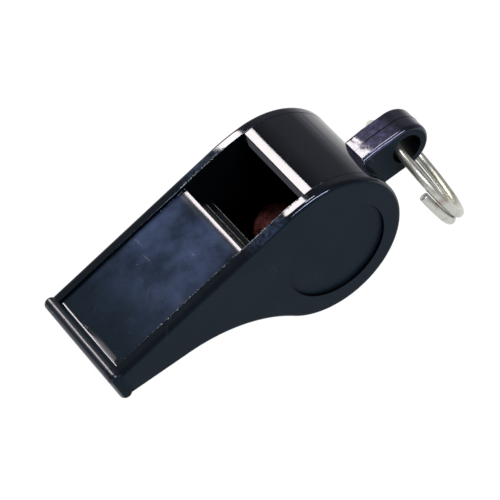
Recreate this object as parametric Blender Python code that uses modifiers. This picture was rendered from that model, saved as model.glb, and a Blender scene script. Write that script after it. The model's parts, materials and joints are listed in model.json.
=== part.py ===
"""A moulded pea whistle with a split ring in its lug.

The whistle's own axes run from the lip (-X) to the lug (+X), with the top plate level.
It is drawn about the barrel's axis and then tipped, nose down, on to the two lines that
it stands on: the underside of the barrel and the lower lip.
"""

import math

import bmesh
import bpy
from mathutils import Matrix, Vector

MM = 0.001

# Driving dimensions, whistle axes, origin on the barrel's axis.
BARREL_RADIUS = 12.0 * MM
WALL = 1.5 * MM
WIDTH = 18.4 * MM
PLATE_THICKNESS = 1.7 * MM
GAP = 0.2 * MM

FLOOR_START = Vector((-34.1, 6.7)) * MM
FLOOR_SLOPE = math.radians(-12.6)
THROAT_RADIUS = 22.4 * MM

BEAD_RADIUS = 1.0 * MM
BEAD_FILLET = 0.35 * MM
DISH_RADIUS = 3.0 * MM
DISH_SLOPE = math.radians(9.0)
UPPER_BEAD = Vector((-34.1, 11.6)) * MM
LOWER_BEAD = Vector((-34.4, 7.5)) * MM

RIM_HEIGHT = 0.45 * MM
ROOF_THICKNESS = 1.4 * MM
WINDWAY_HEIGHT = 1.3 * MM
ROLL_LENGTH = 0.8 * MM
ROLL_RADIUS = 5.0 * MM
NOSE_RADIUS = 0.1 * MM
WINDOW_FRONT = -9.3 * MM
WINDOW_REAR = 1.2 * MM
EDGE_FACET = 2.1 * MM
EDGE_SLOPE = math.radians(6.0)
RAMP_LENGTH = 0.75 * MM
RAMP_DROP = 0.5 * MM
EDGE_THICKNESS = 0.35 * MM
BLOCK_REAR = -7.7 * MM
BLOCK_FOOT = math.radians(16)
BLOCK_CHAMFER = 0.55 * MM

EDGE_ROUND = 0.75 * MM
CROWN_RADIUS = 30.0 * MM
CROWN_SLOPE = math.radians(10.0)
RECESS_RADIUS = 8.1 * MM
RECESS_CENTRE = Vector((0.5, -0.8)) * MM
RECESS_DEPTH = 0.5 * MM

LUG_ANGLE = math.radians(-11.5)
LUG_HOLE_AT = 18.2 * MM
LUG_RADIUS = 3.9 * MM
LUG_HOLE_RADIUS = 2.4 * MM
LUG_THICKNESS = 5.0 * MM
LUG_ROUND = 0.7 * MM
LUG_ROOT = 0.6

PEA_RADIUS = 4.3 * MM
PEA_OFFSET = 2.9 * MM

WIRE_RADIUS = 0.72 * MM
WIRE_IN_HOLE = Vector((-0.75, 0.0, 0.45)) * MM
RING_RADIUS = 9.0 * MM
RING_PITCH = 1.56 * MM
RING_SWING = math.radians(37.5)
RING_TWIST = math.radians(-8.0)
RING_FIRST_END = math.radians(60)
RING_LAST_END = math.radians(86)

ARC_STEP = math.radians(5.0)
CLOSE = 0.001 * MM
FRAME_SHIFT = 4.09 * MM

INNER_HALF = WIDTH / 2 - PLATE_THICKNESS
INNER_RADIUS = BARREL_RADIUS - WALL
ROOF_TOP = BARREL_RADIUS - RIM_HEIGHT
ROOF_UNDERSIDE = ROOF_TOP - ROOF_THICKNESS
BLOCK_TOP = ROOF_UNDERSIDE - WINDWAY_HEIGHT


def rest_angle():
    """The tilt that brings the line under the barrel and the lower lip level."""
    span = LOWER_BEAD.length
    slope = math.atan2(LOWER_BEAD.y, -LOWER_BEAD.x)
    return slope + math.asin((BARREL_RADIUS - BEAD_RADIUS) / span)


def arc(centre, radius, start, end):
    """Points of an arc, from one angle to another, in steps of ARC_STEP or finer."""
    count = max(2, math.ceil(abs(end - start) / ARC_STEP) + 1)
    steps = [start + (end - start) * i / (count - 1) for i in range(count)]
    return [Vector((centre.x + radius * math.cos(a), centre.y + radius * math.sin(a))) for a in steps]


def throat(offset):
    """The hollow bend between the mouthpiece floor and the barrel, offset into the wall.

    Returns its centre, the point where the straight floor ends, the angles on the bend
    and the angle on the barrel where the bend meets it.
    """
    along = Vector((math.cos(FLOOR_SLOPE), math.sin(FLOOR_SLOPE)))
    outward = Vector((along.y, -along.x))
    base = FLOOR_START + outward * THROAT_RADIUS
    half = base.dot(along)
    reach = (BARREL_RADIUS + THROAT_RADIUS) ** 2
    travel = -half - math.sqrt(half * half - base.length_squared + reach)
    centre = base + along * travel
    floor_end = FLOOR_START + along * travel - outward * offset
    start = math.atan2(floor_end.y - centre.y, floor_end.x - centre.x)
    end = math.atan2(-centre.y, -centre.x)
    return centre, floor_end, start, end, math.atan2(centre.y, centre.x)


def underside(offset, lip_end):
    """Floor and throat from the lip to the barrel, a given depth inside the outer skin."""
    centre, floor_end, start, end, _ = throat(offset)
    return [lip_end] + arc(centre, THROAT_RADIUS + offset, start, end)


def floor_point(x, offset):
    """The point of the straight floor at this x, a given depth inside the outer skin."""
    along = Vector((math.cos(FLOOR_SLOPE), math.sin(FLOOR_SLOPE)))
    outward = Vector((along.y, -along.x))
    start = FLOOR_START - outward * offset
    return start + along * ((x - start.x) / along.x)


def bead_bottom(end_point):
    """The lower bead, from its front round underneath to the floor."""
    end = math.atan2(end_point.y - LOWER_BEAD.y, end_point.x - LOWER_BEAD.x)
    return arc(LOWER_BEAD, BEAD_RADIUS, math.radians(-180), end)


def material(name, colour, roughness, metallic=0.0):
    made = bpy.data.materials.new(name)
    made.use_nodes = True
    shader = made.node_tree.nodes["Principled BSDF"]
    shader.inputs["Base Color"].default_value = (*colour, 1.0)
    shader.inputs["Roughness"].default_value = roughness
    shader.inputs["Metallic"].default_value = metallic
    return made


def clear_scene():
    for obj in list(bpy.data.objects):
        bpy.data.objects.remove(obj, do_unlink=True)


def collection(name):
    made = bpy.data.collections.new(name)
    bpy.context.scene.collection.children.link(made)
    return made


def curve_mesh(curve, name):
    """The curve's evaluated mesh, welded into one closed skin with flat faces joined."""
    holder = bpy.data.objects.new(name + "_outline", curve)
    bpy.context.scene.collection.objects.link(holder)
    bpy.context.view_layer.update()
    graph = bpy.context.evaluated_depsgraph_get()
    mesh = bpy.data.meshes.new_from_object(holder.evaluated_get(graph))
    bpy.data.objects.remove(holder, do_unlink=True)
    bm = bmesh.new()
    bm.from_mesh(mesh)
    bmesh.ops.remove_doubles(bm, verts=bm.verts, dist=0.00001)
    bmesh.ops.dissolve_limit(bm, angle_limit=math.radians(0.5), verts=bm.verts, edges=bm.edges)
    bmesh.ops.recalc_face_normals(bm, faces=bm.faces)
    bm.to_mesh(mesh)
    bm.free()
    mesh.name = name
    return mesh


def slab(name, outline, low_y, high_y, finish, group, parent, rounding=0.0):
    """A flat piece: an outline in the whistle's XZ plane, extruded from low_y to high_y."""
    curve = bpy.data.curves.new(name, "CURVE")
    curve.dimensions = "2D"
    curve.fill_mode = "BOTH"
    curve.extrude = (high_y - low_y) / 2 - rounding
    curve.bevel_depth = rounding
    curve.bevel_resolution = 1
    curve.offset = -rounding
    spline = curve.splines.new("POLY")
    spline.points.add(len(outline) - 1)
    for point, place in zip(spline.points, outline):
        point.co = (place.x, place.y, 0.0, 1.0)
    spline.use_cyclic_u = True
    mesh = curve_mesh(curve, name)
    mesh.transform(Matrix.Rotation(math.pi / 2, 4, "X"))
    mesh.transform(Matrix.Translation((0.0, (low_y + high_y) / 2, 0.0)))
    obj = bpy.data.objects.new(name, mesh)
    group.objects.link(obj)
    obj.parent = parent
    obj.data.materials.append(finish)
    return obj


def round_outer_face(obj, outer):
    """Rounds the edges of the face that lies at y = outer."""
    weights = obj.data.attributes.new("bevel_weight_edge", "FLOAT", "EDGE")
    places = obj.data.vertices
    for edge in obj.data.edges:
        on_face = all(abs(places[i].co.y - outer) < CLOSE for i in edge.vertices)
        weights.data[edge.index].value = float(on_face)
    modifier = obj.modifiers.new("rounded edges", "BEVEL")
    modifier.limit_method = "WEIGHT"
    modifier.width = EDGE_ROUND
    modifier.segments = 3
    modifier.use_clamp_overlap = False


def cut_round(obj, name, radius, depth, sides, centre, cutters):
    """Cuts a round bar out of a piece. The bar lies across the whistle, about centre."""
    bm = bmesh.new()
    bmesh.ops.create_cone(bm, cap_ends=True, segments=sides, radius1=radius, radius2=radius, depth=depth)
    mesh = bpy.data.meshes.new(name)
    bm.to_mesh(mesh)
    bm.free()
    cutter = bpy.data.objects.new(name, mesh)
    cutters.objects.link(cutter)
    cutter.parent = obj.parent
    cutter.rotation_euler = (math.pi / 2, 0.0, 0.0)
    cutter.location = centre
    cutter.hide_render = True
    cutter.display_type = "WIRE"
    modifier = obj.modifiers.new("cut", "BOOLEAN")
    modifier.operation = "DIFFERENCE"
    modifier.solver = "EXACT"
    modifier.object = cutter


def side_outline():
    """The whistle's whole side view, run anticlockwise from the front of the lower bead."""
    _, _, _, _, joins = throat(0.0)
    floor_end = floor_point(LOWER_BEAD.x + 0.9 * BEAD_RADIUS, 0.0)
    crown_end = math.pi / 2 - CROWN_SLOPE
    round_the_back = arc(Vector((0.0, 0.0)), BARREL_RADIUS, joins, crown_end)
    crown_centre = (BARREL_RADIUS - CROWN_RADIUS) * Vector((math.cos(crown_end), math.sin(crown_end)))
    crown = arc(crown_centre, CROWN_RADIUS, crown_end, math.pi / 2)
    upper = arc(UPPER_BEAD, BEAD_RADIUS, math.radians(23), math.pi)
    lower = bead_bottom(floor_end) + underside(0.0, floor_end)[1:]
    return lower + round_the_back[1:] + crown[1:] + upper


def side_plate(name, side, finish, group, cutters, parent):
    """One flat side of the whistle, with a shallow round recess over the barrel."""
    outer = side * WIDTH / 2
    inner = side * INNER_HALF
    obj = slab(name, side_outline(), min(outer, inner), max(outer, inner), finish, group, parent)
    round_outer_face(obj, outer)
    centre = (RECESS_CENTRE.x, outer, RECESS_CENTRE.y)
    cut_round(obj, name + "_recess", RECESS_RADIUS, 2 * RECESS_DEPTH, 72, centre, cutters)
    return obj


def barrel_body(finish, group, parent):
    """The strip that makes the barrel wall, the mouthpiece floor and the lower lip."""
    _, _, _, _, joins = throat(0.0)
    centre = Vector((0.0, 0.0))
    facet_end = math.acos((WINDOW_REAR + EDGE_FACET) / BARREL_RADIUS)
    floor_end = floor_point(LOWER_BEAD.x + 0.9 * BEAD_RADIUS, 0.0)
    outer = bead_bottom(floor_end) + underside(0.0, floor_end)[1:]
    outer += arc(centre, BARREL_RADIUS, joins, facet_end)[1:]
    # A flat facet runs forward from the barrel's skin, and a short ramp drops from it to
    # the voicing edge over the window.
    facet_length = EDGE_FACET - RAMP_LENGTH
    ramp_top = outer[-1] + Vector((-facet_length, facet_length * math.tan(EDGE_SLOPE)))
    edge = ramp_top - Vector((RAMP_LENGTH, RAMP_DROP))
    edge_foot_angle = math.acos((WINDOW_REAR + EDGE_THICKNESS) / INNER_RADIUS)
    inner = [ramp_top, edge] + arc(centre, INNER_RADIUS, edge_foot_angle, joins)
    lip_inner = floor_point(floor_end.x, WALL)
    inner += list(reversed(underside(WALL, lip_inner)))[1:]
    lip_top = arc(LOWER_BEAD, BEAD_RADIUS, math.radians(50), math.pi)[:-1]
    half = INNER_HALF - GAP
    return slab("barrel_body", outer + inner + lip_top, -half, half, finish, group, parent)


def top_plate(finish, group, parent):
    """The mouthpiece roof, sunk between the side plates, with the upper lip bead.

    A shallow dish and a small fillet join the plate to the bead, and the plate's rear end
    rolls down to a rounded nose over the window.
    """
    steep = Vector((math.sin(DISH_SLOPE), math.cos(DISH_SLOPE)))
    rise = ROOF_TOP + DISH_RADIUS - (DISH_RADIUS - BEAD_FILLET) * steep.y - UPPER_BEAD.y
    reach = math.sqrt((BEAD_RADIUS + BEAD_FILLET) ** 2 - rise**2)
    fillet_centre = UPPER_BEAD + Vector((reach, rise))
    dish_centre = fillet_centre + (DISH_RADIUS - BEAD_FILLET) * steep
    touch = math.atan2(rise, reach)
    roll_centre = Vector((WINDOW_FRONT - ROLL_LENGTH, ROOF_TOP - ROLL_RADIUS))
    roll_end = math.acos((ROLL_LENGTH - NOSE_RADIUS) / ROLL_RADIUS)
    nose = arc(Vector((0.0, 0.0)), NOSE_RADIUS, 0.0, roll_end)
    roll = arc(roll_centre, ROLL_RADIUS, roll_end, math.pi / 2)
    nose_centre = roll[0] - nose[-1]
    outline = arc(UPPER_BEAD, BEAD_RADIUS, touch, math.radians(250))
    outline += [
        Vector((UPPER_BEAD.x + 1.2 * BEAD_RADIUS, ROOF_UNDERSIDE)),
        Vector((nose_centre.x + NOSE_RADIUS, ROOF_UNDERSIDE)),
    ]
    outline += [nose_centre + point for point in nose] + roll[1:]
    outline += arc(dish_centre, DISH_RADIUS, -math.pi / 2, -math.pi / 2 - DISH_SLOPE)
    outline += arc(fillet_centre, BEAD_FILLET, -math.pi / 2 - DISH_SLOPE, touch - math.pi)[1:]
    half = INNER_HALF - GAP
    return slab("mouthpiece_top_plate", outline, -half, half, finish, group, parent)


def windway_block(finish, group, parent):
    """The block under the windway: its top is the windway's floor, its rear is barrel-shaped."""
    front = LOWER_BEAD.x + 1.6 * BEAD_RADIUS
    depth = WALL + GAP
    centre, _, start, _, joins = throat(depth)
    top_angle = math.acos(BLOCK_REAR / INNER_RADIUS)
    foot_angle = joins % (2 * math.pi) - BLOCK_FOOT
    hollow = arc(Vector((0.0, 0.0)), INNER_RADIUS, top_angle, foot_angle)
    bend_radius = THROAT_RADIUS + depth
    end = math.acos((hollow[-1].x - GAP - centre.x) / bend_radius)
    outline = [
        floor_point(front, depth),
        *arc(centre, bend_radius, start, end),
        *reversed(hollow),
        Vector((BLOCK_REAR, BLOCK_TOP - BLOCK_CHAMFER)),
        Vector((BLOCK_REAR - BLOCK_CHAMFER, BLOCK_TOP)),
        Vector((front, BLOCK_TOP)),
    ]
    half = INNER_HALF - GAP
    return slab("windway_block", outline, -half, half, finish, group, parent)


def lanyard_lug(finish, group, cutters, parent):
    """A flat tongue with a round end and a cross hole, welded to the back of the barrel."""
    inside = LUG_ROOT * BARREL_RADIUS
    end_centre = Vector((LUG_HOLE_AT, 0.0))
    tip = arc(end_centre, LUG_RADIUS, -math.pi / 2, math.pi / 2)
    outline = [Vector((inside, LUG_RADIUS)), Vector((inside, -LUG_RADIUS)), *tip]
    half = LUG_THICKNESS / 2
    obj = slab("lanyard_lug", outline, -half, half, finish, group, parent, LUG_ROUND)
    cut_round(obj, "barrel_under_lug", BARREL_RADIUS + GAP, WIDTH, 180, (0.0, 0.0, 0.0), cutters)
    hole_at = Matrix.Rotation(-LUG_ANGLE, 3, "Y") @ Vector((LUG_HOLE_AT, 0.0, 0.0))
    cut_round(obj, "lug_hole", LUG_HOLE_RADIUS, WIDTH, 60, hole_at, cutters)
    obj.rotation_euler = (0.0, -LUG_ANGLE, 0.0)
    return obj


def cork_pea(finish, group, parent):
    """The ball, lying at the lowest point of the barrel."""
    bm = bmesh.new()
    bmesh.ops.create_icosphere(bm, subdivisions=3, radius=PEA_RADIUS)
    mesh = bpy.data.meshes.new("cork_pea")
    bmesh.ops.translate(bm, verts=bm.verts, vec=(0.0, PEA_OFFSET, PEA_RADIUS + GAP - INNER_RADIUS))
    bm.to_mesh(mesh)
    bm.free()
    mesh.shade_smooth()
    obj = bpy.data.objects.new("cork_pea", mesh)
    group.objects.link(obj)
    obj.parent = parent
    obj.data.materials.append(finish)
    return obj


def split_ring(finish, group, parent):
    """Hard round wire coiled nearly twice round. One wire passes through the lug's hole.

    The coil lies flat in two layers. It starts beside the hole in the front layer, goes
    once round, crosses to the rear layer behind the hole, passes through the hole and
    goes round again to end on the hole's other side. The origin is the wire in the hole.
    """
    curve = bpy.data.curves.new("split_ring", "CURVE")
    curve.dimensions = "3D"
    curve.bevel_depth = WIRE_RADIUS
    curve.bevel_resolution = 2
    curve.use_fill_caps = True
    sweep = 4 * math.pi - RING_FIRST_END - RING_LAST_END
    steps = math.ceil(sweep / math.radians(7))
    at_hole = 2 * math.pi - RING_FIRST_END
    crossing = math.radians(50)
    spline = curve.splines.new("POLY")
    spline.points.add(steps)
    for i, point in enumerate(spline.points):
        turned = sweep * i / steps
        part_way = min(1.0, max(0.0, (turned - at_hole) / crossing + 1.0))
        layer = part_way * part_way * (3 - 2 * part_way) - 1.0
        angle = turned + RING_FIRST_END
        along_y = -RING_RADIUS * math.sin(angle)
        drop = RING_RADIUS * (math.cos(angle) - 1.0)
        point.co = (RING_PITCH * layer, along_y, drop, 1.0)
    obj = bpy.data.objects.new("split_ring", curve)
    group.objects.link(obj)
    obj.parent = parent
    obj.rotation_euler = (0.0, 0.0, RING_TWIST)
    obj.data.materials.append(finish)
    return obj


def main():
    clear_scene()
    parts = collection("pea_whistle")
    cutters = collection("cutters")
    tilt = rest_angle()

    body = bpy.data.objects.new("whistle_axes", None)
    parts.objects.link(body)
    body.location = (FRAME_SHIFT, 0.0, BARREL_RADIUS)
    body.rotation_euler = (0.0, -tilt, 0.0)

    pea_axis = bpy.data.objects.new("pea_axis", None)
    parts.objects.link(pea_axis)
    pea_axis.location = (FRAME_SHIFT, 0.0, BARREL_RADIUS)

    lug_hole = Matrix.Rotation(-LUG_ANGLE, 3, "Y") @ Vector((LUG_HOLE_AT, 0.0, 0.0))
    pivot = Matrix.Rotation(-tilt, 3, "Y") @ (lug_hole + WIRE_IN_HOLE)
    ring_axis = bpy.data.objects.new("ring_axis", None)
    parts.objects.link(ring_axis)
    ring_axis.location = pivot + Vector((FRAME_SHIFT, 0.0, BARREL_RADIUS))
    ring_axis.rotation_euler = (0.0, -RING_SWING, 0.0)

    black = material("black_plastic", (0.012, 0.016, 0.021), 0.28)
    glossy = material("glossy_black_plastic", (0.012, 0.018, 0.026), 0.14)
    cork = material("cork", (0.28, 0.09, 0.05), 0.85)
    nickel = material("nickel_plate", (0.72, 0.70, 0.66), 0.16, 1.0)

    barrel_body(black, parts, body)
    top_plate(glossy, parts, body)
    windway_block(black, parts, body)
    side_plate("right_side_plate", -1, black, parts, cutters, body)
    side_plate("left_side_plate", 1, black, parts, cutters, body)
    lanyard_lug(black, parts, cutters, body)
    cork_pea(cork, parts, pea_axis)
    split_ring(nickel, parts, ring_axis)


main()
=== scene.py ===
"""The looks of a moulded pea whistle with a split ring.

Lengths are in metres. The whistle's own axes run from the lip (-X) to the lug (+X) with
the top plate level, and their origin is on the barrel's axis.
"""

import json
import math
import random

import bmesh
import bpy
from mathutils import Euler, Matrix, Vector, noise


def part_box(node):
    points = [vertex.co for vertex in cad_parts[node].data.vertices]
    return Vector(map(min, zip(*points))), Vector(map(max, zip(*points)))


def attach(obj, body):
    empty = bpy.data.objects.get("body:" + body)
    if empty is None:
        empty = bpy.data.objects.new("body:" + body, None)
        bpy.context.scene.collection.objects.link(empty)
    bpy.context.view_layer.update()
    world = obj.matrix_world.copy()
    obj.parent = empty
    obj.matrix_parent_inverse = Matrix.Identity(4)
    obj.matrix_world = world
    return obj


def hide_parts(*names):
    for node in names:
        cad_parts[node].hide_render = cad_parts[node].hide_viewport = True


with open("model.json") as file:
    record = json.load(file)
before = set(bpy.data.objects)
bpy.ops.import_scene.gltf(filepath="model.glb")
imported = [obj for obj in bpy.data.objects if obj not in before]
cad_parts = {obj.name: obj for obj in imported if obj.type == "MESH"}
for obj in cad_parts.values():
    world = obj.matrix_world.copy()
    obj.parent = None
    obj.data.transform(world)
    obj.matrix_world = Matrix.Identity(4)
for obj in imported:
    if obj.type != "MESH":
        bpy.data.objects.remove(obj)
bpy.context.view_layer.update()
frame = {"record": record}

MM = 0.001
ORIGIN = Vector((0.0, 0.0))

# Places and sizes that the frame gives.
JOINTS = {joint["name"]: joint for joint in frame["record"]["behaviour"]["joints"]}
BARREL_AXIS = Vector(JOINTS["pea_whirl"]["pos_m"])
RING_PIVOT = Vector(JOINTS["ring_swing"]["pos_m"])
BARREL_RADIUS = BARREL_AXIS.z
OUTER_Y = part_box("left_side_plate")[1].y
PLATE_INNER_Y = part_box("left_side_plate")[0].y
LUG_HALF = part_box("lanyard_lug")[1].y
PEA_LOW, PEA_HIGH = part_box("cork_pea")

# The outline, in the whistle's own axes.
FLOOR_START = Vector((-34.1, 6.7)) * MM
FLOOR_SLOPE = math.radians(-12.6)
THROAT_RADIUS = 22.4 * MM
WALL = 1.5 * MM
BEAD_RADIUS = 1.0 * MM
BEAD_FILLET = 0.35 * MM
DISH_RADIUS = 3.0 * MM
DISH_SLOPE = math.radians(9.0)
UPPER_BEAD = Vector((-34.1, 11.6)) * MM
UPPER_BEAD_START = math.radians(23)
UPPER_BEAD_END = math.radians(250)
LOWER_BEAD = Vector((-34.4, 7.5)) * MM
LOWER_BEAD_TOP = math.radians(50)
FLOOR_FRONT = LOWER_BEAD.x + 0.9 * BEAD_RADIUS
RIM_HEIGHT = 0.45 * MM
ROOF_THICKNESS = 1.4 * MM
WINDWAY_HEIGHT = 1.3 * MM
ROLL_LENGTH = 0.8 * MM
ROLL_RADIUS = 5.0 * MM
NOSE_RADIUS = 0.1 * MM
WINDOW_FRONT = -9.3 * MM
WINDOW_REAR = 1.2 * MM
EDGE_FACET = 2.1 * MM
EDGE_SLOPE = math.radians(6.0)
RAMP_LENGTH = 0.75 * MM
RAMP_DROP = 0.5 * MM
EDGE_BACK = 0.35 * MM
BLOCK_FRONT = LOWER_BEAD.x + 1.6 * BEAD_RADIUS
BLOCK_REAR = -7.7 * MM
BLOCK_HEEL = 0.2 * MM
BLOCK_FOOT = math.radians(16)
BLOCK_ROUND = 0.15 * MM
BLOCK_STEP = 0.45 * MM
BLOCK_LEDGE = 0.8 * MM
EDGE_ROUND = 0.75 * MM
CROWN_RADIUS = 30.0 * MM
CROWN_SLOPE = math.radians(10.0)
RECESS_RADIUS = 8.1 * MM
RECESS_CENTRE = Vector((0.5, -0.8)) * MM
RECESS_DEPTH = 0.5 * MM

# The lug, in its own axes, which run out of the barrel through its hole.
LUG_ANGLE = math.radians(-11.5)
LUG_HOLE_AT = 18.2 * MM
LUG_RADIUS = 3.9 * MM
LUG_HOLE_RADIUS = 2.4 * MM
LUG_ROUND = 0.7 * MM
LUG_SHOULDER_AT = 14.3 * MM
LUG_SHOULDER_SLOPE = math.radians(6.0)
LUG_START_AT = 0.6 * BARREL_RADIUS
PARTING_HALF = 0.07 * MM
PARTING_RIDGE = 0.04 * MM

# The ring's wire, and how the ring hangs.
WIRE_RADIUS = 0.72 * MM
RING_RADIUS = 9.0 * MM
RING_PITCH = 1.56 * MM
RING_SWING = math.radians(37.5)
RING_TWIST = math.radians(-8.0)
RING_FIRST_END = math.radians(60)
RING_LAST_END = math.radians(86)
RING_CROSSING = math.radians(50)
RING_STEP = math.radians(1.0)

# The gap between pieces, and how finely curves are drawn.
SEAM = 0.03 * MM
ARC_STEP = math.radians(2.0)
SAME_PLACE = 0.002 * MM
ACROSS = Matrix.Rotation(math.pi / 2, 4, "X")

INNER_RADIUS = BARREL_RADIUS - WALL
ROOF_TOP = BARREL_RADIUS - RIM_HEIGHT
ROOF_UNDERSIDE = ROOF_TOP - ROOF_THICKNESS
BLOCK_TOP = ROOF_UNDERSIDE - WINDWAY_HEIGHT
STRIP_HALF = PLATE_INNER_Y - SEAM

# The camera looks down on the whistle from its lip's right-hand side.
CAMERA_TARGET = Vector((-3.2, 0.4, 7.8)) * MM
CAMERA_DISTANCE = 0.400
CAMERA_AZIMUTH = math.radians(-35.3)
CAMERA_ELEVATION = math.radians(43.4)
CAMERA_ROLL = math.radians(2.73)
CAMERA_LENS = 202.8


def rest_angle():
    """The tilt that brings the line under the barrel and the lower lip level."""
    slope = math.atan2(LOWER_BEAD.y, -LOWER_BEAD.x)
    return slope + math.asin((BARREL_RADIUS - BEAD_RADIUS) / LOWER_BEAD.length)


WHISTLE_AXES = Matrix.Translation(BARREL_AXIS) @ Matrix.Rotation(-rest_angle(), 4, "Y")
LUG_AXES = WHISTLE_AXES @ Matrix.Rotation(-LUG_ANGLE, 4, "Y")
RING_AXES = (
    Matrix.Translation(RING_PIVOT)
    @ Matrix.Rotation(-RING_SWING, 4, "Y")
    @ Matrix.Rotation(RING_TWIST, 4, "Z")
)


# ---------------------------------------------------------------- outlines


def arc(centre, radius, start, end):
    """Points of an arc, from one angle to another, in steps of ARC_STEP or finer."""
    count = max(2, math.ceil(abs(end - start) / ARC_STEP) + 1)
    steps = [start + (end - start) * i / (count - 1) for i in range(count)]
    return [centre + radius * Vector((math.cos(a), math.sin(a))) for a in steps]


def throat(offset):
    """The bend from the mouthpiece floor to the barrel: its centre, two angles, and where it joins."""
    along = Vector((math.cos(FLOOR_SLOPE), math.sin(FLOOR_SLOPE)))
    outward = Vector((along.y, -along.x))
    base = FLOOR_START + outward * THROAT_RADIUS
    half = base.dot(along)
    reach = (BARREL_RADIUS + THROAT_RADIUS) ** 2
    travel = -half - math.sqrt(half * half - base.length_squared + reach)
    centre = base + along * travel
    floor_end = FLOOR_START + along * travel - outward * offset
    start = math.atan2(floor_end.y - centre.y, floor_end.x - centre.x)
    end = math.atan2(-centre.y, -centre.x)
    return centre, start, end, math.atan2(centre.y, centre.x)


def underside(offset):
    """The bend's points, a given depth inside the outer skin, from the floor to the barrel."""
    centre, start, end, _ = throat(offset)
    return arc(centre, THROAT_RADIUS + offset, start, end)


def floor_point(x, offset):
    """The point of the straight floor at this x, a given depth inside the outer skin."""
    along = Vector((math.cos(FLOOR_SLOPE), math.sin(FLOOR_SLOPE)))
    start = FLOOR_START - Vector((along.y, -along.x)) * offset
    return start + along * ((x - start.x) / along.x)


def bead_bottom(floor_end):
    """The lower bead, from its front round underneath to the floor."""
    end = math.atan2(floor_end.y - LOWER_BEAD.y, floor_end.x - LOWER_BEAD.x)
    return arc(LOWER_BEAD, BEAD_RADIUS, -math.pi, end)


def side_outline():
    """The whistle's whole side view, run anticlockwise from the front of the lower bead."""
    joins = throat(0.0)[3]
    floor_end = floor_point(FLOOR_FRONT, 0.0)
    crown_end = math.pi / 2 - CROWN_SLOPE
    round_the_back = arc(ORIGIN, BARREL_RADIUS, joins, crown_end)
    crown_centre = (BARREL_RADIUS - CROWN_RADIUS) * Vector((math.cos(crown_end), math.sin(crown_end)))
    crown = arc(crown_centre, CROWN_RADIUS, crown_end, math.pi / 2)
    upper = arc(UPPER_BEAD, BEAD_RADIUS, UPPER_BEAD_START, math.pi)
    return bead_bottom(floor_end) + underside(0.0) + round_the_back[1:] + crown[1:] + upper


# ---------------------------------------------------------------- mesh helpers


def link(name, mesh, axes):
    obj = bpy.data.objects.new(name, mesh)
    bpy.context.scene.collection.objects.link(obj)
    obj.matrix_world = axes
    return obj


def evaluated_mesh(obj):
    bpy.context.view_layer.update()
    graph = bpy.context.evaluated_depsgraph_get()
    return bpy.data.meshes.new_from_object(obj.evaluated_get(graph))


def slab(name, outlines, low_y, high_y, axes=WHISTLE_AXES, rounding=0.0):
    """A flat piece: outlines in the XZ plane of the given axes, extruded from low_y to high_y.

    Rounding is the radius of both faces' edges.
    """
    curve = bpy.data.curves.new(name, "CURVE")
    curve.dimensions = "2D"
    curve.fill_mode = "BOTH"
    curve.extrude = (high_y - low_y) / 2 - rounding
    curve.bevel_depth = rounding
    curve.bevel_resolution = 5
    curve.offset = -rounding
    for outline in outlines:
        spline = curve.splines.new("POLY")
        spline.points.add(len(outline) - 1)
        for point, place in zip(spline.points, outline):
            point.co = (place.x, place.y, 0.0, 1.0)
        spline.use_cyclic_u = True
    holder = link(name + "_outline", curve, Matrix.Identity(4))
    mesh = evaluated_mesh(holder)
    bpy.data.objects.remove(holder, do_unlink=True)
    bm = bmesh.new()
    bm.from_mesh(mesh)
    bmesh.ops.remove_doubles(bm, verts=bm.verts, dist=SAME_PLACE)
    bmesh.ops.dissolve_limit(bm, angle_limit=math.radians(0.5), verts=bm.verts, edges=bm.edges)
    bmesh.ops.recalc_face_normals(bm, faces=bm.faces)
    bmesh.ops.rotate(bm, verts=bm.verts, matrix=ACROSS.to_3x3())
    bmesh.ops.translate(bm, verts=bm.verts, vec=(0.0, (low_y + high_y) / 2, 0.0))
    bm.to_mesh(mesh)
    bm.free()
    mesh.name = name
    return link(name, mesh, axes)


def weigh_edges(obj, share):
    """Gives each edge the share of a Bevel's width that share() returns for its two ends."""
    weights = obj.data.attributes.new("bevel_weight_edge", "FLOAT", "EDGE")
    places = obj.data.vertices
    for edge in obj.data.edges:
        first, second = (places[i].co for i in edge.vertices)
        weights.data[edge.index].value = share(first, second)


def bevel(obj, width, segments, by_angle=None):
    modifier = obj.modifiers.new("rounded edges", "BEVEL")
    modifier.limit_method = "ANGLE" if by_angle else "WEIGHT"
    if by_angle:
        modifier.angle_limit = by_angle
    modifier.width = width
    modifier.segments = segments
    modifier.use_clamp_overlap = False


def apply_modifiers(obj):
    mesh = evaluated_mesh(obj)
    obj.modifiers.clear()
    obj.data = mesh


def cut(obj, cutter):
    """Takes the cutter's shape out of a piece, and removes the cutter."""
    modifier = obj.modifiers.new("cut", "BOOLEAN")
    modifier.operation = "DIFFERENCE"
    modifier.solver = "EXACT"
    modifier.object = cutter
    apply_modifiers(obj)
    bpy.data.objects.remove(cutter, do_unlink=True)


def cut_round(obj, radius, length, segments, axes):
    """Cuts out of a piece a round bar that lies across the whistle, about the axes' origin."""
    bm = bmesh.new()
    bmesh.ops.create_cone(
        bm, cap_ends=True, segments=segments, radius1=radius, radius2=radius, depth=length
    )
    mesh = bpy.data.meshes.new("round_bar")
    bm.to_mesh(mesh)
    bm.free()
    cut(obj, link("round_bar", mesh, axes @ ACROSS))


def smooth(obj, angle=math.radians(32)):
    """Smooth shading, sharp over the given angle, with the large flats kept flat."""
    obj.data.shade_smooth()
    obj.data.set_sharp_from_angle(angle=angle)
    modifier = obj.modifiers.new("flat flats", "WEIGHTED_NORMAL")
    modifier.keep_sharp = True
    modifier.weight = 80


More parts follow.
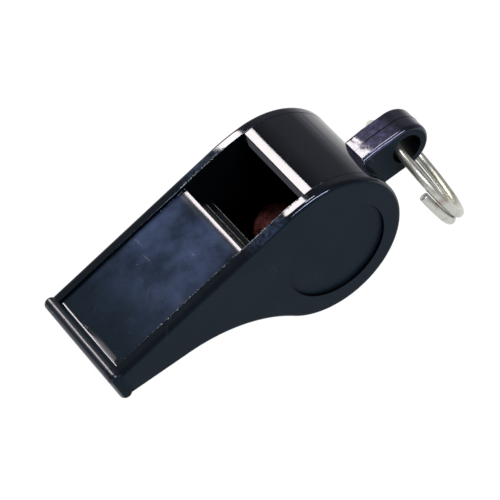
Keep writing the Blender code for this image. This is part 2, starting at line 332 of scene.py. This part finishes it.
def finish_piece(obj, body, nodes, slot, *finishes):
    """Gives a piece its materials, ties it to its body and hides the parts that it stands in for."""
    obj.data.transform(obj.matrix_world)
    obj.matrix_world = Matrix.Identity(4)
    obj.data.materials.clear()
    for finish in finishes:
        obj.data.materials.append(finish)
    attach(obj, body)
    if nodes:
        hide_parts(*nodes)
    return obj


# ---------------------------------------------------------------- materials


class Nodes:
    """A material's node tree, with short calls for the nodes that the finishes share."""

    def __init__(self, name):
        self.material = bpy.data.materials.new(name)
        self.material.use_nodes = True
        self.tree = self.material.node_tree
        self.shader = self.tree.nodes["Principled BSDF"]
        self.place = self.tree.nodes.new("ShaderNodeTexCoord").outputs["Object"]
        turn = (0.0, rest_angle(), 0.0)
        shift = Euler(turn).to_matrix() @ -BARREL_AXIS
        self.place = self.mapped((1.0, 1.0, 1.0), turn, shift)

    def wire(self, source, target):
        self.tree.links.new(source, target)

    def mapped(self, scale, turn=(0.0, 0.0, 0.0), shift=(0.0, 0.0, 0.0), vector=None):
        node = self.tree.nodes.new("ShaderNodeMapping")
        node.inputs["Location"].default_value = shift
        node.inputs["Rotation"].default_value = turn
        node.inputs["Scale"].default_value = scale
        self.wire(vector or self.place, node.inputs["Vector"])
        return node.outputs["Vector"]

    def along_and_across(self):
        """The place's X, along the whistle, and its Y, across it."""
        node = self.tree.nodes.new("ShaderNodeSeparateXYZ")
        self.wire(self.place, node.inputs["Vector"])
        return node.outputs["X"], node.outputs["Y"]

    def noise(self, scale, detail=3.0, roughness=0.55, vector=None):
        node = self.tree.nodes.new("ShaderNodeTexNoise")
        node.inputs["Scale"].default_value = scale
        node.inputs["Detail"].default_value = detail
        node.inputs["Roughness"].default_value = roughness
        self.wire(vector or self.place, node.inputs["Vector"])
        return node.outputs["Fac"]

    def cells(self, scale):
        node = self.tree.nodes.new("ShaderNodeTexVoronoi")
        node.inputs["Scale"].default_value = scale
        self.wire(self.place, node.inputs["Vector"])
        return node

    def ranged(self, value, low, high, to_low=0.0, to_high=1.0):
        node = self.tree.nodes.new("ShaderNodeMapRange")
        node.interpolation_type = "SMOOTHSTEP"
        node.inputs["From Min"].default_value = low
        node.inputs["From Max"].default_value = high
        node.inputs["To Min"].default_value = to_low
        node.inputs["To Max"].default_value = to_high
        self.wire(value, node.inputs["Value"])
        return node.outputs["Result"]

    def math(self, operation, first, second=0.0):
        node = self.tree.nodes.new("ShaderNodeMath")
        node.operation = operation
        for socket, value in zip(node.inputs, (first, second)):
            if isinstance(value, (int, float)):
                socket.default_value = value
            else:
                self.wire(value, socket)
        return node.outputs[0]

    def product(self, first, *others):
        for other in others:
            first = self.math("MULTIPLY", first, other)
        return first

    def mix(self, factor, low, high):
        node = self.tree.nodes.new("ShaderNodeMix")
        node.data_type = "RGBA"
        self.wire(factor, node.inputs["Factor"])
        for socket, value in ((node.inputs["A"], low), (node.inputs["B"], high)):
            if isinstance(value, tuple):
                socket.default_value = (*value, 1.0)
            else:
                self.wire(value, socket)
        return node.outputs["Result"]

    def bump(self, height, distance, below=None):
        node = self.tree.nodes.new("ShaderNodeBump")
        node.inputs["Strength"].default_value = 1.0
        node.inputs["Distance"].default_value = distance
        self.wire(height, node.inputs["Height"])
        if below:
            self.wire(below, node.inputs["Normal"])
        return node.outputs["Normal"]


def scratches(made, turns, amount):
    """Hairline scratches in a few directions, broken up into patches. 1 on a scratch."""
    total = None
    for i, turn in enumerate(turns):
        turned = made.mapped((1.0, 1.0, 1.0), (0.0, 0.0, math.radians(turn)))
        stretched = made.mapped((170.0, 8000.0, 170.0), shift=(3.1 * i, 1.7 * i, 0.4), vector=turned)
        line = made.ranged(made.noise(1.0, 2.0, 0.4, stretched), 0.71 - amount, 0.77 - amount)
        patch = made.ranged(made.noise(110.0 + 37.0 * i, 1.0), 0.50, 0.72)
        line = made.product(line, patch)
        total = line if total is None else made.math("MAXIMUM", total, line)
    return total


def specks(made, scale, size, share):
    """Tiny scattered dust specks. 1 on a speck."""
    cell = made.cells(scale)
    dot = made.ranged(cell.outputs["Distance"], size, 0.6 * size)
    lucky = made.ranged(cell.outputs["Color"], 1.0 - share, 1.02 - share)
    return made.product(dot, lucky)


def sheen_patch(made, span, scale):
    """A cloudy patch of painted sheen along part of the whistle's length: a lighter colour that stands
    in for reflected light. 1 in its middle.
    """
    x, _ = made.along_and_across()
    rising = made.ranged(x, span[0] * MM, span[1] * MM)
    falling = made.ranged(x, span[3] * MM, span[2] * MM)
    cloud = made.ranged(made.noise(scale, 9.0, 0.62), 0.30, 0.78)
    return made.product(rising, falling, cloud)


def rubbed_patch(made):
    """The extra roughness of the strokes rubbed into the plate, behind the lip's right end."""
    x, y = made.along_and_across()
    behind = made.ranged(x, -31.8 * MM, -32.35 * MM, 0.0, 0.30)
    in_front = made.ranged(x, -32.84 * MM, -32.72 * MM)
    right = made.ranged(y, 0.8 * MM, -3.0 * MM)
    ending = made.ranged(y, -6.6 * MM, -6.0 * MM)
    brushed = made.mapped((1500.0, 160.0, 160.0))
    strokes = made.ranged(made.noise(1.0, 3.0, 0.6, brushed), 0.24, 0.46)
    return made.product(behind, in_front, right, ending, strokes)


def rolled_edge(made):
    """The extra roughness of the plate's rear edge, more so in its far corner."""
    x, y = made.along_and_across()
    rolled = made.ranged(x, -11.1 * MM, -10.4 * MM, 0.0, 0.07)
    corner = made.ranged(y, 3.5 * MM, 6.5 * MM, 1.0, 1.4)
    beside = made.math("ABSOLUTE", y)
    on_plate = made.ranged(beside, PLATE_INNER_Y + 0.1 * MM, PLATE_INNER_Y)
    before_window = made.ranged(x, -9.0 * MM, WINDOW_FRONT)
    return made.product(rolled, corner, on_plate, before_window)


def worn_places(made):
    """The extra roughness, over the plastic's own, of the places that lips and fingers wear."""
    x, _ = made.along_and_across()
    bead = made.ranged(x, -33.05 * MM, -33.25 * MM, 0.0, 0.20)
    mouthed = made.math("MAXIMUM", bead, rubbed_patch(made))
    return made.math("ADD", mouthed, rolled_edge(made))


def black_plastic(
    name, dark, light, rough, specular, tint, wave, scratch, dust, painted_sheen,
    sheen_span=(-33.0, -14.0, -11.0, -9.6), sheen_scale=110.0, wave_scale=95.0, across=1.0
):
    """Moulded black plastic: mottled colour, a wavy moulded surface, scuffs, hairlines and dust.

    The painted sheen, a lighter colour that stands in for reflected light, comes in and goes out
    over the four places given for it, in millimetres along the whistle. The waves are longer
    across the whistle where across is under 1.
    """
    made = Nodes(name)
    mottle_and_sheen = made.mix(made.ranged(made.noise(120.0, 4.0), 0.35, 0.68), dark, light)
    hairlines = scratches(made, (8.0, 52.0, -35.0, 84.0), scratch)
    dusty = specks(made, 900.0, 0.075, dust)
    worn = made.math("MAXIMUM", made.product(hairlines, 0.15), dusty)
    # Painted sheen: a lighter colour laid over part of the whistle where reflected light shows.
    sheened = made.mix(sheen_patch(made, sheen_span, sheen_scale), mottle_and_sheen, painted_sheen)
    made.wire(made.mix(worn, sheened, (0.16, 0.17, 0.20)), made.shader.inputs["Base Color"])

    grain = made.noise(2600.0, 3.0)
    roughness = made.ranged(grain, 0.3, 0.7, rough[0], rough[1])
    scuffed = made.ranged(made.noise(75.0, 3.0), 0.42, 0.68, 0.0, 0.05)
    for extra in (scuffed, made.product(hairlines, 0.14), worn_places(made)):
        roughness = made.math("ADD", roughness, extra)
    made.wire(roughness, made.shader.inputs["Roughness"])

    stretched = made.mapped((1.0, across, 1.0))
    rolling = made.bump(made.noise(wave_scale, 1.5, vector=stretched), wave)
    grained = made.bump(grain, 0.0008 * MM, rolling)
    made.wire(made.bump(hairlines, -0.002 * MM, grained), made.shader.inputs["Normal"])
    made.shader.inputs["Specular IOR Level"].default_value = specular
    made.shader.inputs["Specular Tint"].default_value = (*tint, 1.0)
    made.shader.inputs["IOR"].default_value = 1.5
    return made.material


def cork():
    """Reddish-brown cork: pale granules, dark lenticels and a dry open surface."""
    made = Nodes("cork_grain")
    granules = made.cells(900.0)
    tone = made.mix(granules.outputs["Color"], (0.15, 0.040, 0.036), (0.30, 0.090, 0.085))
    blotch = made.ranged(made.noise(420.0, 4.0), 0.40, 0.66)
    tone = made.mix(blotch, tone, (0.06, 0.020, 0.018))
    pits = made.ranged(made.noise(1500.0, 3.0), 0.60, 0.70)
    made.wire(made.mix(pits, tone, (0.03, 0.012, 0.01)), made.shader.inputs["Base Color"])
    made.wire(made.ranged(blotch, 0.0, 1.0, 0.72, 0.92), made.shader.inputs["Roughness"])
    lumpy = made.bump(granules.outputs["Distance"], 0.12 * MM)
    made.wire(made.bump(pits, -0.15 * MM, lumpy), made.shader.inputs["Normal"])
    made.shader.inputs["Specular IOR Level"].default_value = 0.25
    return made.material


def nickel():
    """Bright nickel plate on drawn wire, dulled to brown in patches."""
    made = Nodes("worn_nickel")
    stain = made.ranged(made.noise(330.0, 5.0, 0.6), 0.50, 0.72)
    plate = made.mix(stain, (0.48, 0.49, 0.45), (0.34, 0.28, 0.24))
    pitted = specks(made, 1700.0, 0.14, 0.08)
    made.wire(made.mix(pitted, plate, (0.16, 0.12, 0.09)), made.shader.inputs["Base Color"])
    grain = made.noise(2100.0, 3.0)
    polish = made.ranged(grain, 0.3, 0.7, 0.33, 0.39)
    rough = made.math("ADD", polish, made.product(stain, 0.12))
    made.wire(rough, made.shader.inputs["Roughness"])
    drawn = made.bump(made.noise(260.0, 1.0), 0.004 * MM)
    made.wire(made.bump(grain, 0.0001 * MM, drawn), made.shader.inputs["Normal"])
    made.shader.inputs["Metallic"].default_value = 0.92
    return made.material


SATIN = black_plastic(
    "satin_black_plastic",
    dark=(0.0030, 0.0068, 0.0115), light=(0.0045, 0.0088, 0.0140), painted_sheen=(0.0045, 0.0088, 0.0140),
    rough=(0.30, 0.40), specular=0.06, tint=(0.5, 0.8, 1.0),
    wave=0.01 * MM, scratch=-0.02, dust=0.03,
)
# The rims' light-blue patches beside the window are painted sheen, standing in for reflected light.
RIM = black_plastic(
    "rim_gloss_painted_sheen",
    dark=(0.0014, 0.0024, 0.0036), light=(0.0022, 0.0034, 0.0050), painted_sheen=(0.0260, 0.0400, 0.0800),
    rough=(0.05, 0.09), specular=0.5, tint=(0.70, 0.74, 1.0),
    wave=0.025 * MM, scratch=-0.04, dust=0.08,
    sheen_span=(-10.0, -6.0, -3.5, -1.5), sheen_scale=1500.0, wave_scale=520.0,
)
# The flash crumbs are real; their pale colour is painted glints along the rims and edges.
FLASH_GLINTS = black_plastic(
    "flash_plastic_painted_glints",
    dark=(0.02, 0.025, 0.035), light=(0.18, 0.20, 0.25), painted_sheen=(0.10, 0.11, 0.12),
    rough=(0.25, 0.40), specular=0.4, tint=(0.9, 0.9, 1.0),
    wave=0.02 * MM, scratch=-0.02, dust=0.03,
)
HIDDEN = black_plastic(
    "shaded_black_plastic",
    dark=(0.0008, 0.0012, 0.0018), light=(0.0012, 0.0018, 0.0026), painted_sheen=(0.0010, 0.0014, 0.0022),
    rough=(0.10, 0.16), specular=0.25, tint=(0.75, 0.8, 1.0),
    wave=0.01 * MM, scratch=-0.02, dust=0.03,
)
# A darker copy of the plastic: painted shade for the chamber's inner faces, the recess wall and the
# lug's hole.
SHADED_DULL = black_plastic(
    "dull_plastic_painted_shade",
    dark=(0.0008, 0.0014, 0.0020), light=(0.0012, 0.0020, 0.0030), painted_sheen=(0.0010, 0.0016, 0.0024),
    rough=(0.40, 0.50), specular=0.04, tint=(0.8, 0.85, 1.0),
    wave=0.01 * MM, scratch=-0.02, dust=0.03,
)
GLOSS = black_plastic(
    "gloss_black_plastic",
    dark=(0.0010, 0.0016, 0.0026), light=(0.0016, 0.0024, 0.0036), painted_sheen=(0.0016, 0.0024, 0.0036),
    rough=(0.04, 0.07), specular=0.5, tint=(0.68, 0.72, 0.96),
    wave=0.03 * MM, scratch=-0.01, dust=0.05,
    wave_scale=650.0, across=0.06,
)
# The lug crest's pale mottle and lavender colour are painted sheen, patches of reflected light.
LUG_CREST_SHEEN = black_plastic(
    "lug_crest_painted_sheen",
    dark=(0.0040, 0.0050, 0.0080), light=(0.0180, 0.0180, 0.0300), painted_sheen=(0.0550, 0.0550, 0.1300),
    rough=(0.05, 0.09), specular=0.5, tint=(0.70, 0.72, 1.0),
    wave=0.05 * MM, scratch=0.0, dust=0.08,
    sheen_span=(12.5, 14.0, 16.0, 19.5), sheen_scale=1500.0, wave_scale=480.0,
)
# The top plate's bluish clouds are a painted reflection of the sky over the mouthpiece roof.
PLATE = black_plastic(
    "scratched_gloss_plastic",
    dark=(0.0024, 0.0054, 0.0092), light=(0.0034, 0.0072, 0.0124), painted_sheen=(0.037, 0.054, 0.122),
    rough=(0.05, 0.08), specular=0.5, tint=(0.72, 0.74, 1.0),
    wave=0.20 * MM, scratch=0.02, dust=0.22,
)
CORK = cork()
NICKEL = nickel()
BLACK_SLOT = "black_plastic"


# ---------------------------------------------------------------- the whistle's pieces

# How nearly a face points across the whistle, from 0 to 1, to take a flat's finish.
FACES_OUT = 0.80
FLAT = 0.94


def side_plate(name, side):
    """One flat side, with rounded rims and a shallow round recess.

    Its rims are glossy, with painted sheen beside the window, its outer flats satin, and its inner face
    and recess wall dull and darker, as painted shade.
    """
    outer = side * OUTER_Y
    inner = side * PLATE_INNER_Y
    obj = slab(name, [side_outline()], min(outer, inner), max(outer, inner))
    weigh_edges(obj, lambda a, b: float(max(abs(a.y - outer), abs(b.y - outer)) < 1e-6))
    bevel(obj, EDGE_ROUND, 6)
    apply_modifiers(obj)

    centre = Vector((RECESS_CENTRE.x, outer, RECESS_CENTRE.y))
    at_recess = WHISTLE_AXES @ Matrix.Translation(centre)
    cut_round(obj, RECESS_RADIUS, 2 * RECESS_DEPTH, 144, at_recess)
    bevel(obj, 0.02 * MM, 1, math.radians(50))
    apply_modifiers(obj)
    smooth(obj)
    finish_piece(obj, "shell", [name], BLACK_SLOT, RIM, SATIN, SHADED_DULL)
    for face in obj.data.polygons:
        outward = face.normal.y * side
        near_wall = (face.center - at_recess.translation).length < RECESS_RADIUS + 0.1 * MM
        if outward > FACES_OUT:
            face.material_index = 1
        # The inner face and the recess wall take the darker finish, as painted shade.
        elif outward < -FLAT:
            face.material_index = 2
        elif abs(outward) < FACES_OUT and abs(face.center.y - outer) < RECESS_DEPTH and near_wall:
            face.material_index = 2
    return obj


def barrel_body():
    """The strip that makes the barrel wall, the mouthpiece floor and the lower lip."""
    joins = throat(0.0)[3]
    facet_end = math.acos((WINDOW_REAR + EDGE_FACET) / BARREL_RADIUS)
    floor_end = floor_point(FLOOR_FRONT, 0.0)
    outer = bead_bottom(floor_end) + underside(0.0)
    outer += arc(ORIGIN, BARREL_RADIUS, joins, facet_end)[1:]
    facet_length = EDGE_FACET - RAMP_LENGTH
    ramp_top = outer[-1] + Vector((-facet_length, facet_length * math.tan(EDGE_SLOPE)))
    edge = ramp_top - Vector((RAMP_LENGTH, RAMP_DROP))
    edge_foot_angle = math.acos((WINDOW_REAR + EDGE_BACK) / INNER_RADIUS)
    inner = [ramp_top, edge] + arc(ORIGIN, INNER_RADIUS, edge_foot_angle, joins)
    inner += list(reversed(underside(WALL)))[1:] + [floor_point(floor_end.x, WALL)]
    lip_top = arc(LOWER_BEAD, BEAD_RADIUS, LOWER_BEAD_TOP, math.pi)[:-1]
    obj = slab("barrel_and_floor", [outer + inner + lip_top], -STRIP_HALF, STRIP_HALF)
    bevel(obj, 0.08 * MM, 3, math.radians(30))
    apply_modifiers(obj)
    smooth(obj)
    return finish_piece(obj, "shell", ["barrel_body"], BLACK_SLOT, GLOSS)


def top_plate():
    """The mouthpiece roof, sunk between the side plates, with the bead along the upper lip."""
    steep = Vector((math.sin(DISH_SLOPE), math.cos(DISH_SLOPE)))
    rise = ROOF_TOP + DISH_RADIUS - (DISH_RADIUS - BEAD_FILLET) * steep.y - UPPER_BEAD.y
    reach = math.sqrt((BEAD_RADIUS + BEAD_FILLET) ** 2 - rise**2)
    fillet_centre = UPPER_BEAD + Vector((reach, rise))
    dish_centre = fillet_centre + (DISH_RADIUS - BEAD_FILLET) * steep
    touch = math.atan2(rise, reach)
    roll_centre = Vector((WINDOW_FRONT - ROLL_LENGTH, ROOF_TOP - ROLL_RADIUS))
    roll_end = math.acos((ROLL_LENGTH - NOSE_RADIUS) / ROLL_RADIUS)
    nose = arc(ORIGIN, NOSE_RADIUS, 0.0, roll_end)
    roll = arc(roll_centre, ROLL_RADIUS, roll_end, math.pi / 2)
    nose_centre = roll[0] - nose[-1]
    outline = arc(UPPER_BEAD, BEAD_RADIUS, touch, UPPER_BEAD_END)
    outline.append(Vector((UPPER_BEAD.x + 1.2 * BEAD_RADIUS, ROOF_UNDERSIDE)))
    outline.append(Vector((nose_centre.x + NOSE_RADIUS, ROOF_UNDERSIDE)))
    outline += [nose_centre + point for point in nose] + roll[1:]
    outline += arc(dish_centre, DISH_RADIUS, -math.pi / 2, -math.pi / 2 - DISH_SLOPE)
    outline += arc(fillet_centre, BEAD_FILLET, -math.pi / 2 - DISH_SLOPE, touch - math.pi)[1:]
    obj = slab("mouthpiece_roof", [outline], -STRIP_HALF, STRIP_HALF)
    bevel(obj, 0.06 * MM, 2, math.radians(50))
    apply_modifiers(obj)
    smooth(obj)
    return finish_piece(obj, "shell", ["mouthpiece_top_plate"], "glossy_black_plastic", PLATE)


def windway_block():
    """The block under the windway: its top is the windway's floor, its rear is barrel-shaped."""
    depth = WALL + SEAM
    centre, start, _, joins = throat(depth)
    top_angle = math.acos(BLOCK_REAR / INNER_RADIUS)
    foot_angle = joins % (2 * math.pi) - BLOCK_FOOT
    hollow = arc(ORIGIN, INNER_RADIUS, top_angle, foot_angle)
    end = math.acos((hollow[-1].x - BLOCK_HEEL - centre.x) / (THROAT_RADIUS + depth))
    lower_step = Vector((BLOCK_REAR, BLOCK_TOP - BLOCK_STEP))
    upper_step = Vector((BLOCK_REAR - BLOCK_LEDGE, BLOCK_TOP))
    in_from_corner = Vector((BLOCK_ROUND, BLOCK_ROUND))
    outline = [
        floor_point(BLOCK_FRONT, depth),
        *arc(centre, THROAT_RADIUS + depth, start, end),
        *reversed(hollow),
        *arc(lower_step - in_from_corner, BLOCK_ROUND, 0.0, math.pi / 2),
        *arc(upper_step - in_from_corner, BLOCK_ROUND, 0.0, math.pi / 2),
        Vector((BLOCK_FRONT, BLOCK_TOP)),
    ]
    obj = slab("block_under_windway", [outline], -STRIP_HALF, STRIP_HALF)
    smooth(obj)
    return finish_piece(obj, "shell", ["windway_block"], BLACK_SLOT, HIDDEN)


def lug_outline(grow):
    """The lug's side view in its own axes, run on into the barrel, with its skin moved outward."""
    half = LUG_RADIUS + grow
    tip = arc(Vector((LUG_HOLE_AT, 0.0)), half, -math.pi / 2, math.pi / 2)
    shoulder = Vector((LUG_SHOULDER_AT, half))
    foot = shoulder - (LUG_SHOULDER_AT - LUG_START_AT) * Vector((1.0, math.tan(LUG_SHOULDER_SLOPE)))
    return [foot, Vector((LUG_START_AT, -half)), *tip, shoulder]


def cut_to_barrel(obj):
    """Cuts away what would run into the barrel."""
    cut_round(obj, BARREL_RADIUS + SEAM, 4 * OUTER_Y, 240, Matrix.Translation(BARREL_AXIS))


def lanyard_lug():
    """The tongue on the back of the barrel, with a rounded crest and a cross hole.

    Its crest is gloss with painted sheen, its flat faces satin, and its hole dull and darker, as
    painted shade.
    """
    hole = LUG_AXES @ Vector((LUG_HOLE_AT, 0.0, 0.0))
    obj = slab("lug", [lug_outline(0.0)], -LUG_HALF, LUG_HALF, LUG_AXES, LUG_ROUND)
    cut_to_barrel(obj)
    cut_round(obj, LUG_HOLE_RADIUS, 4 * OUTER_Y, 240, Matrix.Translation(hole))
    smooth(obj)
    finish_piece(obj, "shell", ["lanyard_lug"], BLACK_SLOT, LUG_CREST_SHEEN, SATIN, SHADED_DULL)
    for face in obj.data.polygons:
        from_hole = face.center - hole
        if abs(face.normal.y) > FLAT:
            face.material_index = 1
        # The hole takes the darker finish, as painted shade.
        elif math.hypot(from_hole.x, from_hole.z) < LUG_HOLE_RADIUS + 0.1 * MM:
            face.material_index = 2
    return obj


def parting_line():
    """The fine raised line that the two halves of the mould leave round the lug's crest."""
    outlines = [lug_outline(PARTING_RIDGE), list(reversed(lug_outline(-6 * PARTING_RIDGE)))]
    obj = slab("lug_parting_line", outlines, -PARTING_HALF, PARTING_HALF, LUG_AXES)
    cut_to_barrel(obj)
    smooth(obj)
    return finish_piece(obj, "shell", [], BLACK_SLOT, GLOSS)


def rim_top(x):
    """The height of the side plates' rims at this x."""
    outline = side_outline()
    for first, second in zip(outline, outline[1:] + outline[:1]):
        if second.x <= x <= first.x and first.y > 0.5 * BARREL_RADIUS:
            return first.y + (second.y - first.y) * (x - first.x) / (second.x - first.x)
    return BARREL_RADIUS


def plate_top(x):
    """The height of the top plate, which is level, at this x."""
    return ROOF_TOP


def flash_along(name, span, count, y, size, height):
    """Crumbs of flash and nicks along an edge, each a small flattened lump, bunched at its ends.

    The edge runs over a span of x, in millimetres, at y and at height(x).
    """
    front, rear = (x * MM for x in span)
    chance = random.Random(count)
    noise.seed_set(count)
    bm = bmesh.new()
    for _ in range(count):
        x = front + (rear - front) * chance.betavariate(0.8, 0.8)
        place = Vector((x, y + chance.gauss(0.0, 0.5 * size), height(x)))
        shape = Matrix.Diagonal((chance.uniform(1.0, 2.4), chance.uniform(0.6, 1.0), 0.5, 1.0))
        turn = Euler((chance.uniform(-0.3, 0.3), chance.uniform(-0.3, 0.3), chance.uniform(-0.5, 0.5)))
        axes = Matrix.Translation(place) @ turn.to_matrix().to_4x4() @ shape
        radius = size * chance.uniform(0.35, 1.0)
        bmesh.ops.create_icosphere(bm, subdivisions=2, radius=radius, matrix=axes)
    for vertex in bm.verts:
        vertex.co += 0.25 * size * noise.noise_vector(vertex.co * 9000.0)
    mesh = bpy.data.meshes.new(name)
    bm.to_mesh(mesh)
    bm.free()
    mesh.shade_smooth()
    return finish_piece(link(name, mesh, WHISTLE_AXES), "shell", [], BLACK_SLOT, FLASH_GLINTS)


def flash():
    """All the crumbs: on the rims beside the window, and where the plate meets the sides. Their pale
    colour is painted glints, and the dense row along the plate's near edge is a painted highlight line.
    """
    near, far = -PLATE_INNER_Y, PLATE_INNER_Y
    flash_along("near_rim_flash", (-10.6, 1.0), 150, near - 0.14 * MM, 0.09 * MM, rim_top)
    flash_along("far_rim_flash", (-9.8, -1.5), 60, far + 0.1 * MM, 0.11 * MM, rim_top)
    # A dense row of tiny pale crumbs: a painted highlight line along the plate's near edge.
    flash_along("near_plate_highlight_line", (-33.0, -9.5), 230, near - 0.01 * MM, 0.036 * MM, rim_top)
    flash_along("near_plate_flash", (-27.0, -10.0), 16, near - 0.04 * MM, 0.13 * MM, rim_top)
    flash_along("far_plate_flash", (-14.0, -9.5), 12, STRIP_HALF, 0.10 * MM, plate_top)


def pea():
    """The cork ball, slightly lumpy, with the pits that cork has."""
    centre = (PEA_LOW + PEA_HIGH) / 2
    radius = (PEA_HIGH.z - PEA_LOW.z) / 2
    bm = bmesh.new()
    bmesh.ops.create_icosphere(bm, subdivisions=6, radius=radius)
    for vertex in bm.verts:
        way = vertex.co.normalized()
        lump = 0.10 * noise.noise(way * 2.3)
        pit = max(0.0, noise.noise(way * 9.0 + Vector((4.0, 1.0, 2.0))) - 0.28)
        vertex.co -= way * MM * (0.09 + lump + 0.9 * pit)
    mesh = bpy.data.meshes.new("pea")
    bm.to_mesh(mesh)
    bm.free()
    mesh.shade_smooth()
    obj = link("pea", mesh, Matrix.Translation(centre))
    return finish_piece(obj, "pea", ["cork_pea"], "cork", CORK)


def ring():
    """The wire coiled nearly twice round in two layers, one of them through the lug's hole."""
    curve = bpy.data.curves.new("ring", "CURVE")
    curve.dimensions = "3D"
    curve.bevel_depth = WIRE_RADIUS
    curve.bevel_resolution = 18
    curve.use_fill_caps = True
    sweep = 4 * math.pi - RING_FIRST_END - RING_LAST_END
    steps = math.ceil(sweep / RING_STEP)
    at_hole = 2 * math.pi - RING_FIRST_END
    spline = curve.splines.new("POLY")
    spline.points.add(steps)
    for i, point in enumerate(spline.points):
        turned = sweep * i / steps
        part_way = min(1.0, max(0.0, (turned - at_hole) / RING_CROSSING + 1.0))
        layer = part_way * part_way * (3 - 2 * part_way) - 1.0
        angle = turned + RING_FIRST_END
        along_y = -RING_RADIUS * math.sin(angle)
        drop = RING_RADIUS * (math.cos(angle) - 1.0)
        point.co = (RING_PITCH * layer, along_y, drop, 1.0)
    holder = link("ring_wire", curve, Matrix.Identity(4))
    mesh = evaluated_mesh(holder)
    bpy.data.objects.remove(holder, do_unlink=True)
    bm = bmesh.new()
    bm.from_mesh(mesh)
    bmesh.ops.remove_doubles(bm, verts=bm.verts, dist=SAME_PLACE)
    bm.to_mesh(mesh)
    bm.free()
    obj = link("ring", mesh, RING_AXES)
    bevel(obj, 0.05 * MM, 2, math.radians(60))
    apply_modifiers(obj)
    smooth(obj, math.radians(40))
    return finish_piece(obj, "ring", ["split_ring"], "nickel_plate", NICKEL)


# ---------------------------------------------------------------- the studio

# The room's palest side, and how pale the room is at each share of the way towards it.
PALE_SIDE = (0.62, 0.62, -0.48)
PALENESS = ((0.0, 0.18), (0.32, 0.44), (0.68, 0.34), (0.90, 0.92))


def floor():
    """A plain pale table that stays white under the soft light."""
    bpy.ops.mesh.primitive_plane_add(size=4.0, location=(0.0, 0.0, -0.05 * MM))
    obj = bpy.context.object
    obj.name = "floor"
    made = Nodes("white_table")
    cloud = made.ranged(made.noise(14.0, 3.0), 0.3, 0.7)
    paper = made.mix(cloud, (0.97, 0.97, 0.97), (1.0, 1.0, 1.0))
    made.shader.inputs["Base Color"].default_value = (0.06, 0.06, 0.06, 1.0)
    made.wire(paper, made.shader.inputs["Emission Color"])
    made.shader.inputs["Emission Strength"].default_value = 1.0
    made.shader.inputs["Roughness"].default_value = 0.9
    obj.data.materials.append(made.material)


def softbox(name, direction, distance, size, energy, colour):
    """A rectangular area light that faces the whistle, its length along the barrel's axis."""
    light = bpy.data.lights.new(name, "AREA")
    light.shape = "RECTANGLE"
    light.size, light.size_y = size
    light.energy = energy
    light.color = colour
    obj = bpy.data.objects.new(name, light)
    bpy.context.scene.collection.objects.link(obj)
    back = Vector(direction).normalized()
    side = Vector((0.0, 1.0, 0.0)).cross(back).normalized()
    up = back.cross(side)
    turn = Matrix((side, up, back)).transposed().to_4x4()
    obj.matrix_world = Matrix.Translation(back * distance) @ turn


def room():
    """The room that the whistle mirrors, palest behind it and low down. The camera sees it as white."""
    world = bpy.data.worlds.new("room")
    world.use_nodes = True
    tree = world.node_tree
    facing = tree.nodes.new("ShaderNodeTexCoord")
    towards = tree.nodes.new("ShaderNodeVectorMath")
    towards.operation = "DOT_PRODUCT"
    towards.inputs[1].default_value = PALE_SIDE
    shade = tree.nodes.new("ShaderNodeValToRGB")
    seen = tree.nodes.new("ShaderNodeLightPath")
    paper = tree.nodes.new("ShaderNodeMix")
    paper.data_type = "RGBA"
    paper.inputs["B"].default_value = (0.97, 0.97, 0.97, 1.0)
    tree.links.new(facing.outputs["Generated"], towards.inputs[0])
    tree.links.new(towards.outputs["Value"], shade.inputs["Fac"])
    tree.links.new(seen.outputs["Is Camera Ray"], paper.inputs["Factor"])
    tree.links.new(shade.outputs["Color"], paper.inputs["A"])
    tree.links.new(paper.outputs["Result"], tree.nodes["Background"].inputs["Color"])
    stops = shade.color_ramp.elements
    stops.remove(stops[1])
    for share, grey in PALENESS:
        stop = stops.new(share) if share else stops[0]
        stop.color = (0.99 * grey, 0.98 * grey, 1.02 * grey, 1.0)
    bpy.context.scene.world = world


def studio():
    room()
    softbox("key", (-0.225, 0.606, 0.765), 0.6, (0.115, 0.45), 5.0, (1.0, 0.90, 0.71))
    softbox("sky", (-0.62, 0.50, 0.60), 0.7, (0.30, 0.6), 0.06, (0.34, 0.78, 1.0))
    softbox("overhead", (-0.13, -0.04, 0.99), 0.6, (0.10, 0.12), 1.0, (1.0, 0.93, 0.88))
    softbox("edge", (0.08, -0.79, 0.60), 0.6, (0.30, 0.12), 2.6, (0.85, 0.92, 1.0))
    bpy.context.scene.view_settings.view_transform = "Standard"


def camera():
    cos_e, sin_e = math.cos(CAMERA_ELEVATION), math.sin(CAMERA_ELEVATION)
    cos_a, sin_a = math.cos(CAMERA_AZIMUTH), math.sin(CAMERA_AZIMUTH)
    back = Vector((sin_a * cos_e, -cos_a * cos_e, sin_e))
    level = Vector((cos_a, sin_a, 0.0))
    right = level * math.cos(CAMERA_ROLL) + back.cross(level) * math.sin(CAMERA_ROLL)
    lens = bpy.data.cameras.new("camera")
    lens.lens = CAMERA_LENS
    lens.sensor_width = 36.0
    lens.clip_start = 0.01
    lens.clip_end = 10.0
    obj = bpy.data.objects.new("camera", lens)
    bpy.context.scene.collection.objects.link(obj)
    turn = Matrix((right, back.cross(right), back)).transposed().to_4x4()
    obj.matrix_world = Matrix.Translation(CAMERA_TARGET + back * CAMERA_DISTANCE) @ turn
    bpy.context.scene.camera = obj


camera()
side_plate("right_side_plate", -1)
side_plate("left_side_plate", 1)
barrel_body()
top_plate()
windway_block()
lanyard_lug()
parting_line()
flash()
pea()
ring()
floor()
studio()
